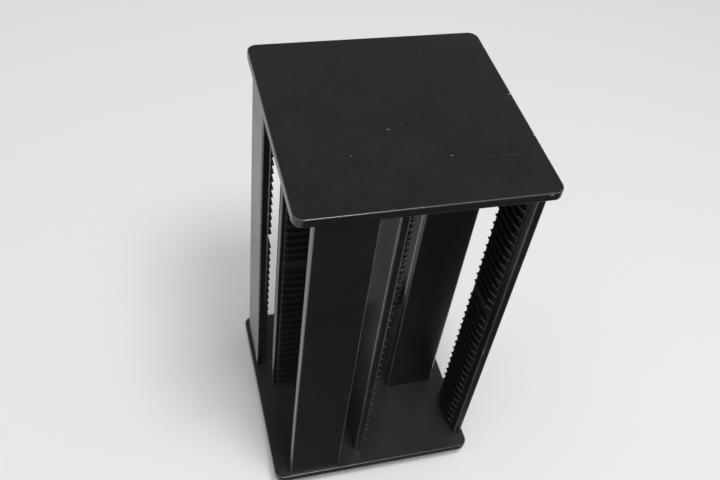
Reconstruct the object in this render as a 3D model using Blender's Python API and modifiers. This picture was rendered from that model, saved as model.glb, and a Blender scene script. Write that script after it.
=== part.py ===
"""Revolving compact-disc tower, open on four sides.

Eight equal boards stand between two square plates in a pinwheel. Each board carries a ledge rail on
one face, and a rail on an outer board faces a rail on an inner board across every bay. The tower
turns on a ball bearing between its base plate and a round foot. Metres, +Z up, the floor at z = 0
and the turning axis on Z.
"""
import math
from collections import namedtuple

import bmesh
import bpy
from mathutils import Matrix

# Clearance between pieces that touch
GAP = 0.0003

# Top plate and base plate
PLATE_SIDE = 0.305
PLATE_THICKNESS = 0.012
PLATE_CORNER = 0.013
PLATE_EASE = 0.0012

# The eight boards and where they stand, from the plate's edges and from its centre
BOARD_WIDTH = 0.075
BOARD_THICKNESS = 0.012
BOARD_HEIGHT = 0.544
BOARD_CORNER = 0.0025
OUTER_INSET = 0.005
OUTER_END = 0.022
INNER_END = 0.0235
CORE_HALF = 0.01425

# Ledge rails, each moulded in an upper and a lower length
STRIP_THICKNESS = 0.001
STRIP_END = 0.003
LEDGE_REACH = 0.005
LEDGE_THICKNESS = 0.002
LEDGE_PITCH = 0.0144
LEDGE_LEAD = 0.009
LEDGE_NOSE = 0.0006
LEDGE_INSET = 0.0003
LEAD_SETBACK = 0.012
SQUARE_SETBACK = 0.007
FIRST_LEDGE = 0.023
UPPER_LEDGES = 16
LOWEST_CLEAR = 0.012

# Pegs glued in each board's top, and screws up through the base plate, two of each at a board
FIXING_INSET = 0.018
PEG_DIAMETER = 0.006
PEG_HEIGHT = 0.008
SCREW_DIAMETER = 0.004
SCREW_HEAD = 0.008
SCREW_HEAD_DEPTH = 0.003
SCREW_IN_BOARD = 0.024
SCREW_POINT = 0.003

# Turntable: two grooved rings, screwed on, with a cage of balls between them
RACE_RADIUS = 0.045
BALL_DIAMETER = 0.005
BALL_COUNT = 12
CAGE_WIDTH = 0.007
CAGE_THICKNESS = 0.0012
RING_INNER = 0.036
RING_OUTER = 0.064
RING_THICKNESS = 0.003
RING_GAP = 0.0026
RING_SCREW_RADIUS = 0.056
RING_SCREW_COUNT = 3
RING_SCREW_DIAMETER = 0.003
RING_SCREW_HEAD = 0.006
RING_SCREW_HEAD_DEPTH = 0.0016
RING_SCREW_IN_WOOD = 0.006
RING_SCREW_POINT = 0.001

# Pivot bolt on the turning axis, with its washer and nut
BOLT_DIAMETER = 0.008
BOLT_HEAD = 0.02
BOLT_HEAD_DEPTH = 0.003
BOLT_PAST_NUT = 0.002
WASHER_DIAMETER = 0.02
WASHER_THICKNESS = 0.0015
NUT_ACROSS = 0.013
NUT_HEIGHT = 0.007

# Round foot and its pads
FOOT_DIAMETER = 0.24
FOOT_THICKNESS = 0.009
FOOT_EASE = 0.0015
PAD_DIAMETER = 0.02
PAD_HEIGHT = 0.002
PAD_COUNT = 4
PAD_INSET = 0.008

# Facets of a turn
RING_STEPS = 40
FOOT_STEPS = 48
PIN_STEPS = 8
BOLT_STEPS = 16
CORNER_STEPS = 4
GROOVE_STEPS = 5
BALL_STEPS = 10
BALL_RINGS = 6
NUT_SIDES = 6

# How many times larger than life a flat outline is drawn before it is filled
ENLARGED = 1000

# Heights worked out from the floor upwards
FOOT_BOTTOM = PAD_HEIGHT + GAP
FOOT_TOP = FOOT_BOTTOM + FOOT_THICKNESS
LOWER_RING_BOTTOM = FOOT_TOP + GAP
LOWER_RING_TOP = LOWER_RING_BOTTOM + RING_THICKNESS
UPPER_RING_BOTTOM = LOWER_RING_TOP + RING_GAP
UPPER_RING_TOP = UPPER_RING_BOTTOM + RING_THICKNESS
RACE_HEIGHT = (LOWER_RING_TOP + UPPER_RING_BOTTOM) / 2
BASE_BOTTOM = UPPER_RING_TOP + GAP
BASE_TOP = BASE_BOTTOM + PLATE_THICKNESS
BOARD_BOTTOM = BASE_TOP + GAP
BOARD_TOP = BOARD_BOTTOM + BOARD_HEIGHT
TOP_BOTTOM = BOARD_TOP + GAP
TOP_TOP = TOP_BOTTOM + PLATE_THICKNESS

# Rail places worked out from the board
RAIL_LENGTH = BOARD_WIDTH - LEAD_SETBACK - SQUARE_SETBACK
FIRST_LEDGE_TOP = BOARD_TOP - FIRST_LEDGE
LOWER_START = UPPER_LEDGES + 1
LOWER_ROOM = BOARD_HEIGHT - FIRST_LEDGE - LOWER_START * LEDGE_PITCH - LEDGE_THICKNESS - LOWEST_CLEAR
LOWER_LEDGES = 1 + math.floor(LOWER_ROOM / LEDGE_PITCH)
RAIL_JOINT = FIRST_LEDGE_TOP - UPPER_LEDGES * LEDGE_PITCH - LEDGE_THICKNESS / 2

SIDES = ("front", "right", "back", "left")
PLATE_HALF = PLATE_SIDE / 2

Screw = namedtuple("Screw", "diameter head head_depth length point")
BOARD_SCREW = Screw(SCREW_DIAMETER, SCREW_HEAD, SCREW_HEAD_DEPTH, PLATE_THICKNESS + SCREW_IN_BOARD,
                    SCREW_POINT)
RING_SCREW = Screw(RING_SCREW_DIAMETER, RING_SCREW_HEAD, RING_SCREW_HEAD_DEPTH,
                   RING_THICKNESS + RING_SCREW_IN_WOOD, RING_SCREW_POINT)


def clear_scene():
    for obj in list(bpy.data.objects):
        bpy.data.objects.remove(obj, do_unlink=True)


def new_collection(name):
    collection = bpy.data.collections.new(name)
    bpy.context.scene.collection.children.link(collection)
    return collection


def new_material(name, colour, roughness, metallic=0.0):
    material = bpy.data.materials.new(name)
    material.use_nodes = True
    shader = material.node_tree.nodes["Principled BSDF"]
    shader.inputs["Base Color"].default_value = (*colour, 1.0)
    shader.inputs["Roughness"].default_value = roughness
    shader.inputs["Metallic"].default_value = metallic
    return material


clear_scene()
PARTS = new_collection("cd_tower")
CUTTERS = new_collection("cd_tower_cutters")
BLACK_PAINT = new_material("black_paint", (0.018, 0.018, 0.02), 0.42)
BLACK_PLASTIC = new_material("black_plastic", (0.016, 0.016, 0.017), 0.5)
ZINC_STEEL = new_material("zinc_steel", (0.52, 0.53, 0.55), 0.35, 1.0)
RUBBER = new_material("rubber", (0.02, 0.02, 0.02), 0.85)


# Helpers for objects and meshes

def add_node(name, mesh, material, parent, matrix=Matrix.Identity(4)):
    """A named sub-part with its material, placed under the empty that carries it."""
    obj = bpy.data.objects.new(name, mesh)
    mesh.materials.clear()
    mesh.materials.append(material)
    PARTS.objects.link(obj)
    obj.parent = parent
    obj.matrix_local = matrix
    return obj


def add_empty(name, matrix=Matrix.Identity(4), parent=None):
    empty = bpy.data.objects.new(name, None)
    PARTS.objects.link(empty)
    empty.parent = parent
    empty.matrix_local = matrix
    return empty


def add_cutter(name, mesh):
    cutter = bpy.data.objects.new(name, mesh)
    cutter.hide_render = True
    cutter.display_type = "WIRE"
    CUTTERS.objects.link(cutter)
    return cutter


def working_object(data):
    obj = bpy.data.objects.new("working", data)
    bpy.context.scene.collection.objects.link(obj)
    return obj


def taken(obj):
    """The evaluated mesh of a working object, which is then removed."""
    graph = bpy.context.evaluated_depsgraph_get()
    mesh = bpy.data.meshes.new_from_object(obj.evaluated_get(graph))
    bpy.data.objects.remove(obj, do_unlink=True)
    return mesh


def combine(obj, tool, operation="DIFFERENCE"):
    boolean = obj.modifiers.new(tool.name, "BOOLEAN")
    boolean.operation = operation
    boolean.solver = "EXACT"
    boolean.object = tool


def ease(obj, width):
    """Eases the sharp rims of a flat piece, and leaves the facets of its round outline."""
    bevel = obj.modifiers.new("ease", "BEVEL")
    bevel.width = width
    bevel.segments = 1
    bevel.limit_method = "ANGLE"
    bevel.angle_limit = math.radians(60)


def smooth(mesh):
    mesh.shade_smooth()
    mesh.set_sharp_from_angle(angle=math.radians(35))
    return mesh


def copies(mesh, matrices):
    """Separate copies of one mesh, as a single mesh that serves as a cutter."""
    bm = bmesh.new()
    for matrix in matrices:
        first = len(bm.verts)
        bm.from_mesh(mesh)
        bm.verts.ensure_lookup_table()
        bmesh.ops.transform(bm, matrix=matrix, verts=bm.verts[first:])
    joined = bpy.data.meshes.new("copies")
    bm.to_mesh(joined)
    bm.free()
    return joined


def around(radius, count, height, half_step=False):
    """Places evenly spaced on a circle about the turning axis, from +X or half a step past it."""
    turn = 2 * math.pi / count
    start = turn / 2 if half_step else 0
    return [Matrix.Rotation(start + turn * i, 4, "Z") @ Matrix.Translation((radius, 0, height))
            for i in range(count)]


# Flat outlines and turned shapes

def rounded_rectangle(low, high, radius):
    """Points of a rectangle from low to high, anticlockwise, with arcs at its corners."""
    points = []
    centres = ((high[0] - radius, high[1] - radius), (low[0] + radius, high[1] - radius),
               (low[0] + radius, low[1] + radius), (high[0] - radius, low[1] + radius))
    for quarter, (x, y) in enumerate(centres):
        for step in range(CORNER_STEPS + 1):
            angle = math.pi / 2 * (quarter + step / CORNER_STEPS)
            points.append((x + radius * math.cos(angle), y + radius * math.sin(angle)))
    return points


def round_outline(radius, count):
    turn = 2 * math.pi / count
    return [(radius * math.cos(turn * i), radius * math.sin(turn * i)) for i in range(count)]


def slab(points, bottom, top):
    """A flat outline given a thickness from bottom to top, drawn enlarged so that short edges fill well."""
    curve = bpy.data.curves.new("outline", "CURVE")
    curve.dimensions = "2D"
    curve.fill_mode = "BOTH"
    curve.extrude = (top - bottom) / 2 * ENLARGED
    spline = curve.splines.new("POLY")
    spline.points.add(len(points) - 1)
    for point, (x, y) in zip(spline.points, points):
        point.co = (x * ENLARGED, y * ENLARGED, 0, 1)
    spline.use_cyclic_u = True
    mesh = taken(working_object(curve))
    mesh.transform(Matrix.Scale(1 / ENLARGED, 4))
    bm = bmesh.new()
    bm.from_mesh(mesh)
    bmesh.ops.remove_doubles(bm, verts=bm.verts, dist=1e-6)
    bmesh.ops.dissolve_limit(bm, angle_limit=math.radians(1), verts=bm.verts, edges=bm.edges)
    bmesh.ops.translate(bm, verts=bm.verts, vec=(0, 0, (top + bottom) / 2))
    bm.to_mesh(mesh)
    bm.free()
    return mesh


def turned(profile, steps, closed=False):
    """A profile of (radius, height) points, from the top down its outer side, turned about Z."""
    mesh = bpy.data.meshes.new("profile")
    edges = [(i, i + 1) for i in range(len(profile) - 1)]
    if closed:
        edges.append((len(profile) - 1, 0))
    mesh.from_pydata([(r, 0, z) for r, z in profile], edges, [])
    obj = working_object(mesh)
    screw = obj.modifiers.new("turn", "SCREW")
    screw.steps = steps
    screw.render_steps = steps
    screw.use_merge_vertices = True
    screw.merge_threshold = 0.00001
    return taken(obj)


# Screws point up from the face of a countersunk head at z = 0

def screw_mesh(screw):
    radius = screw.diameter / 2
    profile = [(0, screw.length), (radius, screw.length - screw.point), (radius, screw.head_depth),
               (screw.head / 2, 0), (0, 0)]
    return smooth(turned(profile, PIN_STEPS))


def screw_bore(screw):
    """The space that a screw needs, open at its head."""
    radius = screw.diameter / 2 + GAP
    rim = screw.head / 2 + GAP
    profile = [(0, screw.length + GAP), (radius, screw.length - screw.point + GAP),
               (radius, screw.head_depth + GAP), (rim, GAP), (rim, -GAP), (0, -GAP)]
    return turned(profile, PIN_STEPS)


UPPER_RING_SCREWS = around(RING_SCREW_RADIUS, RING_SCREW_COUNT, UPPER_RING_BOTTOM)
LOWER_RING_SCREWS = [place @ Matrix.Rotation(math.pi, 4, "X")
                     for place in around(RING_SCREW_RADIUS, RING_SCREW_COUNT, LOWER_RING_TOP, half_step=True)]


# Board units: every board with its rail has one shape, in a frame whose X runs along the board's
# width from the end with the lead-ins, and whose Y points out of the face that carries the rail

OUTER_PLACE = Matrix.Translation((OUTER_END - PLATE_HALF, OUTER_INSET + BOARD_THICKNESS - PLATE_HALF, 0))
INNER_PLACE = (Matrix.Translation((-CORE_HALF, INNER_END + BOARD_WIDTH - PLATE_HALF, 0))
               @ Matrix.Rotation(-math.pi / 2, 4, "Z"))
UNITS = {}
for number, side in enumerate(SIDES):
    quarter_turn = Matrix.Rotation(number * math.pi / 2, 4, "Z")
    UNITS[f"outer_{side}"] = quarter_turn @ OUTER_PLACE
    UNITS[f"inner_{side}"] = quarter_turn @ INNER_PLACE
FIXINGS = [Matrix.Translation((along, -BOARD_THICKNESS / 2, 0))
           for along in (FIXING_INSET, BOARD_WIDTH - FIXING_INSET)]


def raised(matrix, height):
    return Matrix.Translation((0, 0, height)) @ matrix


def fixing_places(height):
    """The two fixings of every board, in the tower's frame."""
    return [raised(unit @ fixing, height) for unit in UNITS.values() for fixing in FIXINGS]


def board_mesh():
    """One board with its glued pegs on top and the bores for its screws below."""
    outline = rounded_rectangle((0, -BOARD_THICKNESS), (BOARD_WIDTH, 0), BOARD_CORNER)
    board = working_object(slab(outline, BOARD_BOTTOM, BOARD_TOP))
    peg = slab(round_outline(PEG_DIAMETER / 2, PIN_STEPS), BOARD_TOP - PEG_HEIGHT, TOP_BOTTOM + PEG_HEIGHT)
    combine(board, add_cutter("board_pegs", copies(peg, FIXINGS)), "UNION")
    bores = copies(screw_bore(BOARD_SCREW), [raised(fixing, BASE_BOTTOM) for fixing in FIXINGS])
    combine(board, add_cutter("board_screw_bores", bores))
    return taken(board)


def rail_mesh(bottom, top, first, count):
    """A rail's upper or lower length: a strip with ledges, whose lead-in ends slope out from a nose."""
    start = LEAD_SETBACK
    end = start + RAIL_LENGTH
    root = GAP + STRIP_THICKNESS
    tip = root + LEDGE_REACH
    rooted = root - STRIP_THICKNESS / 2
    rail = working_object(slab([(start, GAP), (end, GAP), (end, root), (start, root)], bottom, top))
    ledge_start = start + LEDGE_INSET
    ledge_end = end - LEDGE_INSET
    outline = [(ledge_start, rooted), (ledge_end, rooted), (ledge_end, tip), (ledge_start + LEDGE_LEAD, tip),
               (ledge_start, root + LEDGE_NOSE)]
    ledge = slab(outline, -LEDGE_THICKNESS, 0)
    places = [Matrix.Translation((0, 0, FIRST_LEDGE_TOP - i * LEDGE_PITCH))
              for i in range(first, first + count)]
    combine(rail, add_cutter("ledges", copies(ledge, places)), "UNION")
    return taken(rail)


def make_boards(tower):
    board = board_mesh()
    upper = rail_mesh(RAIL_JOINT + GAP / 2, BOARD_TOP - STRIP_END, 0, UPPER_LEDGES)
    lower = rail_mesh(BOARD_BOTTOM + STRIP_END, RAIL_JOINT - GAP / 2, LOWER_START, LOWER_LEDGES)
    screw = screw_mesh(BOARD_SCREW)
    for name, matrix in UNITS.items():
        unit = add_empty(f"{name}_unit", matrix, tower)
        add_node(f"{name}_board", board, BLACK_PAINT, unit)
        add_node(f"{name}_rail_upper", upper, BLACK_PLASTIC, unit)
        add_node(f"{name}_rail_lower", lower, BLACK_PLASTIC, unit)
        for number, fixing in enumerate(FIXINGS, start=1):
            add_node(f"{name}_screw_{number}", screw, ZINC_STEEL, unit, raised(fixing, BASE_BOTTOM))


# Plates

def plate_mesh(bottom, top):
    outline = rounded_rectangle((-PLATE_HALF, -PLATE_HALF), (PLATE_HALF, PLATE_HALF), PLATE_CORNER)
    return slab(outline, bottom, top)


def make_top_plate(tower):
    plate = add_node("top_plate", plate_mesh(TOP_BOTTOM, TOP_TOP), BLACK_PAINT, tower)
    ease(plate, PLATE_EASE)
    bore = slab(round_outline(PEG_DIAMETER / 2 + GAP, PIN_STEPS), -GAP, PEG_HEIGHT + GAP)
    combine(plate, add_cutter("top_peg_bores", copies(bore, fixing_places(TOP_BOTTOM))))


def make_base_plate(tower):
    plate = add_node("base_plate", plate_mesh(BASE_BOTTOM, BASE_TOP), BLACK_PAINT, tower)
    ease(plate, PLATE_EASE)
    board_bores = copies(screw_bore(BOARD_SCREW), fixing_places(BASE_BOTTOM))
    combine(plate, add_cutter("base_screw_bores", board_bores))
    ring_bores = copies(screw_bore(RING_SCREW), UPPER_RING_SCREWS)
    combine(plate, add_cutter("base_ring_screw_bores", ring_bores))
    pivot = slab(round_outline(BOLT_DIAMETER / 2 + GAP, BOLT_STEPS), BASE_BOTTOM - GAP, BASE_TOP + GAP)
    combine(plate, add_cutter("base_pivot_bore", pivot))


# Turntable

def ring_mesh(bottom, top):
    """A flat ring with a round ball groove in the face towards the race."""
    reach = BALL_DIAMETER / 2 + GAP
    half_angle = math.acos(RING_GAP / 2 / reach)
    facing_up = top < RACE_HEIGHT
    sign = -1 if facing_up else 1
    sweep = [half_angle * (2 * i / GROOVE_STEPS - 1) for i in range(GROOVE_STEPS + 1)]
    groove = [(RACE_RADIUS + reach * math.sin(a), RACE_HEIGHT + sign * reach * math.cos(a)) for a in sweep]
    outer = [(RING_OUTER, top), (RING_OUTER, bottom)]
    inner = [(RING_INNER, bottom), (RING_INNER, top)]
    profile = outer + inner + groove if facing_up else outer + groove[::-1] + inner
    return smooth(turned(profile, RING_STEPS, closed=True))


def cage_mesh():
    """The flat cage with its balls, which are held in it."""
    inner = RACE_RADIUS - CAGE_WIDTH / 2
    outer = RACE_RADIUS + CAGE_WIDTH / 2
    top = RACE_HEIGHT + CAGE_THICKNESS / 2
    bottom = RACE_HEIGHT - CAGE_THICKNESS / 2
    profile = [(outer, top), (outer, bottom), (inner, bottom), (inner, top)]
    cage = working_object(turned(profile, RING_STEPS, closed=True))
    bm = bmesh.new()
    bmesh.ops.create_uvsphere(bm, u_segments=BALL_STEPS, v_segments=BALL_RINGS, radius=BALL_DIAMETER / 2)
    ball = bpy.data.meshes.new("ball")
    bm.to_mesh(ball)
    bm.free()
    balls = copies(ball, around(RACE_RADIUS, BALL_COUNT, RACE_HEIGHT))
    combine(cage, add_cutter("balls", balls), "UNION")
    return smooth(taken(cage))


def make_turntable(tower, foot):
    lower = add_node("turntable_lower_ring", ring_mesh(LOWER_RING_BOTTOM, LOWER_RING_TOP), ZINC_STEEL, foot)
    combine(lower, add_cutter("lower_ring_bores", copies(screw_bore(RING_SCREW), LOWER_RING_SCREWS)))
    upper = add_node("turntable_upper_ring", ring_mesh(UPPER_RING_BOTTOM, UPPER_RING_TOP), ZINC_STEEL, tower)
    combine(upper, add_cutter("upper_ring_bores", copies(screw_bore(RING_SCREW), UPPER_RING_SCREWS)))
    add_node("ball_cage", cage_mesh(), ZINC_STEEL, foot)
    screw = screw_mesh(RING_SCREW)
    for number, place in enumerate(UPPER_RING_SCREWS, start=1):
        add_node(f"upper_ring_screw_{number}", screw, ZINC_STEEL, tower, place)
    for number, place in enumerate(LOWER_RING_SCREWS, start=1):
        add_node(f"lower_ring_screw_{number}", screw, ZINC_STEEL, foot, place)


# Pivot and foot

def make_pivot(foot):
    """The bolt that keeps the tower on its foot, with its head sunk under the foot."""
    washer_bottom = BASE_TOP + GAP
    washer_top = washer_bottom + WASHER_THICKNESS
    nut_bottom = washer_top + GAP
    nut_top = nut_bottom + NUT_HEIGHT
    bolt_top = nut_top + BOLT_PAST_NUT
    head_top = FOOT_BOTTOM + BOLT_HEAD_DEPTH
    shank = BOLT_DIAMETER / 2
    bore = shank + GAP
    bolt = [(0, bolt_top), (shank, bolt_top), (shank, head_top), (BOLT_HEAD / 2, head_top),
            (BOLT_HEAD / 2, FOOT_BOTTOM), (0, FOOT_BOTTOM)]
    add_node("pivot_bolt", smooth(turned(bolt, BOLT_STEPS)), ZINC_STEEL, foot)
    washer = [(WASHER_DIAMETER / 2, washer_top), (WASHER_DIAMETER / 2, washer_bottom), (bore, washer_bottom),
              (bore, washer_top)]
    add_node("pivot_washer", smooth(turned(washer, BOLT_STEPS, closed=True)), ZINC_STEEL, foot)
    corner_radius = NUT_ACROSS / 2 / math.cos(math.pi / NUT_SIDES)
    hexagon = slab(round_outline(corner_radius, NUT_SIDES), nut_bottom, nut_top)
    nut = add_node("pivot_nut", hexagon, ZINC_STEEL, foot)
    nut_bore = slab(round_outline(bore, BOLT_STEPS), nut_bottom - GAP, nut_top + GAP)
    combine(nut, add_cutter("nut_bore", nut_bore))


def make_foot(foot):
    outline = round_outline(FOOT_DIAMETER / 2, FOOT_STEPS)
    disc = add_node("foot_board", slab(outline, FOOT_BOTTOM, FOOT_TOP), BLACK_PAINT, foot)
    ease(disc, FOOT_EASE)
    shank = BOLT_DIAMETER / 2 + GAP
    head = BOLT_HEAD / 2 + GAP
    step = FOOT_BOTTOM + BOLT_HEAD_DEPTH + GAP
    bolt_bore = [(0, FOOT_TOP + GAP), (shank, FOOT_TOP + GAP), (shank, step), (head, step),
                 (head, FOOT_BOTTOM - GAP), (0, FOOT_BOTTOM - GAP)]
    combine(disc, add_cutter("foot_bolt_bore", turned(bolt_bore, BOLT_STEPS)))
    combine(disc, add_cutter("foot_screw_bores", copies(screw_bore(RING_SCREW), LOWER_RING_SCREWS)))
    pad = slab(round_outline(PAD_DIAMETER / 2, BOLT_STEPS), 0, PAD_HEIGHT)
    pad_radius = FOOT_DIAMETER / 2 - PAD_INSET - PAD_DIAMETER / 2
    for number, place in enumerate(around(pad_radius, PAD_COUNT, 0, half_step=True), start=1):
        add_node(f"foot_pad_{number}", pad, RUBBER, foot, place)


def main():
    foot = add_empty("foot")
    tower = add_empty("tower")
    make_foot(foot)
    make_turntable(tower, foot)
    make_pivot(foot)
    make_base_plate(tower)
    make_boards(tower)
    make_top_plate(tower)


main()
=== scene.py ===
"""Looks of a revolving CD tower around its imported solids.

Satin black boards with worn edges, moulded ledge rails, the turntable and foot below, and a plain
studio. Every length is in metres, in the frame of the solids.
"""
import math
import random

import bmesh
import bpy
from bpy.props import FloatProperty, FloatVectorProperty, IntProperty, PointerProperty
from mathutils import Matrix, Vector


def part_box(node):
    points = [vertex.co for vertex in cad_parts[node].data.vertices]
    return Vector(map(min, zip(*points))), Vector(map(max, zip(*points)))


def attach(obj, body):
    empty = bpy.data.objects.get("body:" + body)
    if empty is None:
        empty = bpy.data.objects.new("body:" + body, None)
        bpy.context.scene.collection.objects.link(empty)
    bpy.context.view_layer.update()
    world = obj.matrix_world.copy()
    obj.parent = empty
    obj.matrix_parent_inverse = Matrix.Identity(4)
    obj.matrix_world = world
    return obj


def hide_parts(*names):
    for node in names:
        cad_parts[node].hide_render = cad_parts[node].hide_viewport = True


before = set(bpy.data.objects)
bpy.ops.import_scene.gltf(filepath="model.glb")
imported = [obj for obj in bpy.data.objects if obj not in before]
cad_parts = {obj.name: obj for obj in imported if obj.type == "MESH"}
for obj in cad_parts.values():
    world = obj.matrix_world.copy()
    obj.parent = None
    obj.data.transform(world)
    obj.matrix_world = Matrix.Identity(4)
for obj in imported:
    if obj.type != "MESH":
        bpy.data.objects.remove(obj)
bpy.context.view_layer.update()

bl_info = {
    "name": "Revolving CD tower",
    "version": (1, 0, 0),
    "blender": (4, 5, 0),
    "location": "View3D > Sidebar > CD tower",
    "description": "Builds the finished pieces of a revolving CD tower around its solids",
    "category": "Object",
}

# Places read from the solids, where SEAT is the gap between pieces that sit on each other
TOP_LOW, TOP_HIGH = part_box("top_plate")
BASE_LOW, BASE_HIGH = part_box("base_plate")
OUTER_LOW, OUTER_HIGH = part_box("outer_front_board")
INNER_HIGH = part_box("inner_front_board")[1]
FOOT_LOW, FOOT_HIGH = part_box("foot_board")
SEAT = OUTER_LOW.z - BASE_HIGH.z
OUTER_PLACE = Vector((OUTER_LOW.x, OUTER_HIGH.y, 0))
BOARD_BOTTOM = OUTER_LOW.z
BOARD_TOP = TOP_LOW.z - SEAT
BOARD_WIDTH = OUTER_HIGH.x - OUTER_LOW.x
BOARD_THICKNESS = OUTER_HIGH.y - OUTER_LOW.y
SIDES = ("front", "right", "back", "left")

# Rails: a ledge's inset from the strip's ends and its hold in the strip, and the radius of their edges
STRIP_THICKNESS = 0.001
LEDGE_INSET = 0.0003
LEDGE_HOLD = 0.0004
RAIL_ROUND = 0.0003

# Rails paled partly by wear and partly as painted highlight: past a ledge's slope, at its far end,
# at the strip's far end, and what is left between
RUB_AND_GLINT_SLOPE = 0.003
RUB_AND_GLINT_END = 0.002
RUB_AND_GLINT_RIM = 0.001
RUB_AND_GLINT_BETWEEN = 0.15

# Screws: the play round them, and the cross as shares of its reach and of the head's depth
SCREW_PLAY = 0.0003
RECESS_TIP = 0.45
RECESS_WIDTH = 0.22
RECESS_DEPTH = 0.55

# Pivot, foot and turntable
PIVOT_SHANK = 0.004
PIVOT_BORE = PIVOT_SHANK + SEAT
PIVOT_HEAD_DEPTH = 0.003
PIVOT_EASE = 0.0005
THREAD_PITCH = 0.00125
THREAD_DEPTH = 0.0006
FOOT_ROUND = 0.002
PAD_ROUND = 0.0006
RING_EASE = 0.0004

# The nut's turned ends: flat face and clearance as shares of its radii, and how far the turning drops
NUT_FACE = 0.97
NUT_CLEAR = 1.01
NUT_DROP = 0.6

# Steps along rounds, and round each turned piece
PLATE_STEPS, BOARD_STEPS, RIM_STEPS, RAIL_STEPS = 14, 8, 5, 2
FOOT_STEPS, PAD_STEPS, GROOVE_STEPS, FLOOR_STEPS = 5, 3, 10, 96
TURN_STEPS = {"bore": 32, "room": 24, "screw": 32, "foot": 120, "pad": 40, "bolt": 40, "washer": 48,
              "turning": 48, "ring": 96, "cage": 96}

# Degrees from which an edge stays sharp, by the kind of piece
ROUNDED, JOINED, TURNED, HEXAGON = 50, 40, 30, 20

# Tolerances
TOUCH = 1e-6
FLUSH = 1e-5
WELD_GAP = 2e-6

# Studio: the floor, a black card of painted shade that only reflections see by its middle and half
# sizes, and the sky's dark corner by its direction and the cosines between which it fades in
FLOOR_RADIUS = 14
CARD_PLACE = (1.1, -1.96, 0.001)
CARD_HALF = (1.4, 1.8, 1)
REFLECTED_SHADE_COLOUR = (0.07, 0.07, 0.07)
CORNER_DIRECTION = (0.24, 0.64, 0.73)
CORNER_FADE = (0.72, 0.91)
SENSOR_WIDTH = 36


def unit_places():
    """Each board's frame: X along its width from the lead-in end, Y out of the face with the rail."""
    outer = Matrix.Translation(OUTER_PLACE)
    inner = Matrix.Translation((INNER_HIGH.x, INNER_HIGH.y, 0)) @ Matrix.Rotation(-math.pi / 2, 4, "Z")
    places = {}
    for number, side in enumerate(SIDES):
        turn = Matrix.Rotation(number * math.pi / 2, 4, "Z")
        places[f"outer_{side}"] = turn @ outer
        places[f"inner_{side}"] = turn @ inner
    return places


UNITS = unit_places()
UPSIDE_DOWN = Matrix.Rotation(math.pi, 4, "X")


# What a user would change

def amount(name, description, default, **settings):
    return FloatProperty(name=name, description=description, default=default, min=0, **settings)


def length(name, description, default):
    return amount(name, description, default, precision=5, unit="LENGTH")


def whole(name, description, default, least=1):
    return IntProperty(name=name, description=description, default=default, min=least)


def position(name, description, default):
    return FloatVectorProperty(name=name, description=description, default=default, subtype="XYZ",
                               unit="LENGTH")


def colour(name, description, default):
    return FloatVectorProperty(name=name, description=description, default=default, size=3, min=0, max=1,
                               subtype="COLOR")


class TowerSizes(bpy.types.PropertyGroup):
    """Sizes of what the finished pieces add to the solids"""
    plate_corner: length("Plate corner", "Radius of the plates' corners, seen from above", 0.013)
    plate_round: length("Plate edge", "Radius of the plates' rounded rims", 0.0014)
    board_round: length("Board edge", "Radius of the boards' upright edges", 0.0032)
    ledge_pitch: length("Ledge pitch", "Height from one ledge to the next", 0.0144)
    ledge_thickness: length("Ledge thickness", "Thickness of a ledge at its root", 0.002)
    ledge_taper: length("Ledge taper", "How much thinner a ledge is at its tip", 0.0005)
    ledge_lead: length("Ledge lead-in", "Length of the slope at the end where a case goes in", 0.009)
    ledge_nose: length("Ledge nose", "Reach of a ledge where its slope starts", 0.0006)
    first_ledge: length("First ledge", "Height of the boards' tops above the first ledge", 0.023)
    upper_ledges: whole("Upper ledges", "Ledges on the upper moulding", 16)
    lower_ledges: whole("Lower ledges", "Ledges on the lower moulding", 19)
    screw_inset: length("Screw inset", "From a board's end to its screw", 0.018)
    recess: length("Recess", "Length of a screw head's cross", 0.0044)
    race_radius: length("Race radius", "Radius of the circle that the balls run on", 0.045)
    ball_radius: length("Ball radius", "Radius of a ball in the turntable", 0.0025)
    balls: whole("Balls", "Balls in the turntable", 12, 3)
    cage_thickness: length("Cage thickness", "Thickness of the cage that holds the balls", 0.0012)
    ring_bore: length("Ring bore", "Inner radius of the turntable's rings", 0.036)


class TowerColours(bpy.types.PropertyGroup):
    """Colours of the finishes"""
    paint: colour("Paint", "Satin black on the boards", (0.0064, 0.007, 0.0078))
    haze: colour("Haze", "Where hands and cloths have dulled the paint", (0.0094, 0.0102, 0.0113))
    sheen: colour("Sheen", "Tint of the paint's reflections", (0.87, 0.97, 1.0))
    dust: colour("Dust", "Dust lying on upper faces", (0.16, 0.158, 0.152))
    lint: colour("Lint", "Pale marks on the top plate", (0.8, 0.79, 0.76))
    # Bare board is also what the rounded rims are paled towards, partly as painted highlight
    fibre: colour("Bare board", "Pressed fibre where the paint is chipped", (0.33, 0.32, 0.3))
    plastic: colour("Plastic", "Moulded rails", (0.0078, 0.0081, 0.0085))
    # Rubbed plastic: partly wear, partly a painted highlight on the ledges' ends
    rubbed: colour("Rubbed plastic", "Ledges' ends where cases go in", (0.09, 0.092, 0.095))
    zinc: colour("Zinc", "Plated steel", (0.56, 0.57, 0.59))
    scuff: colour("Scuff", "Handling marks in the plating", (0.3, 0.3, 0.31))
    rubber: colour("Rubber", "Pads under the foot", (0.017, 0.017, 0.018))


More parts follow.
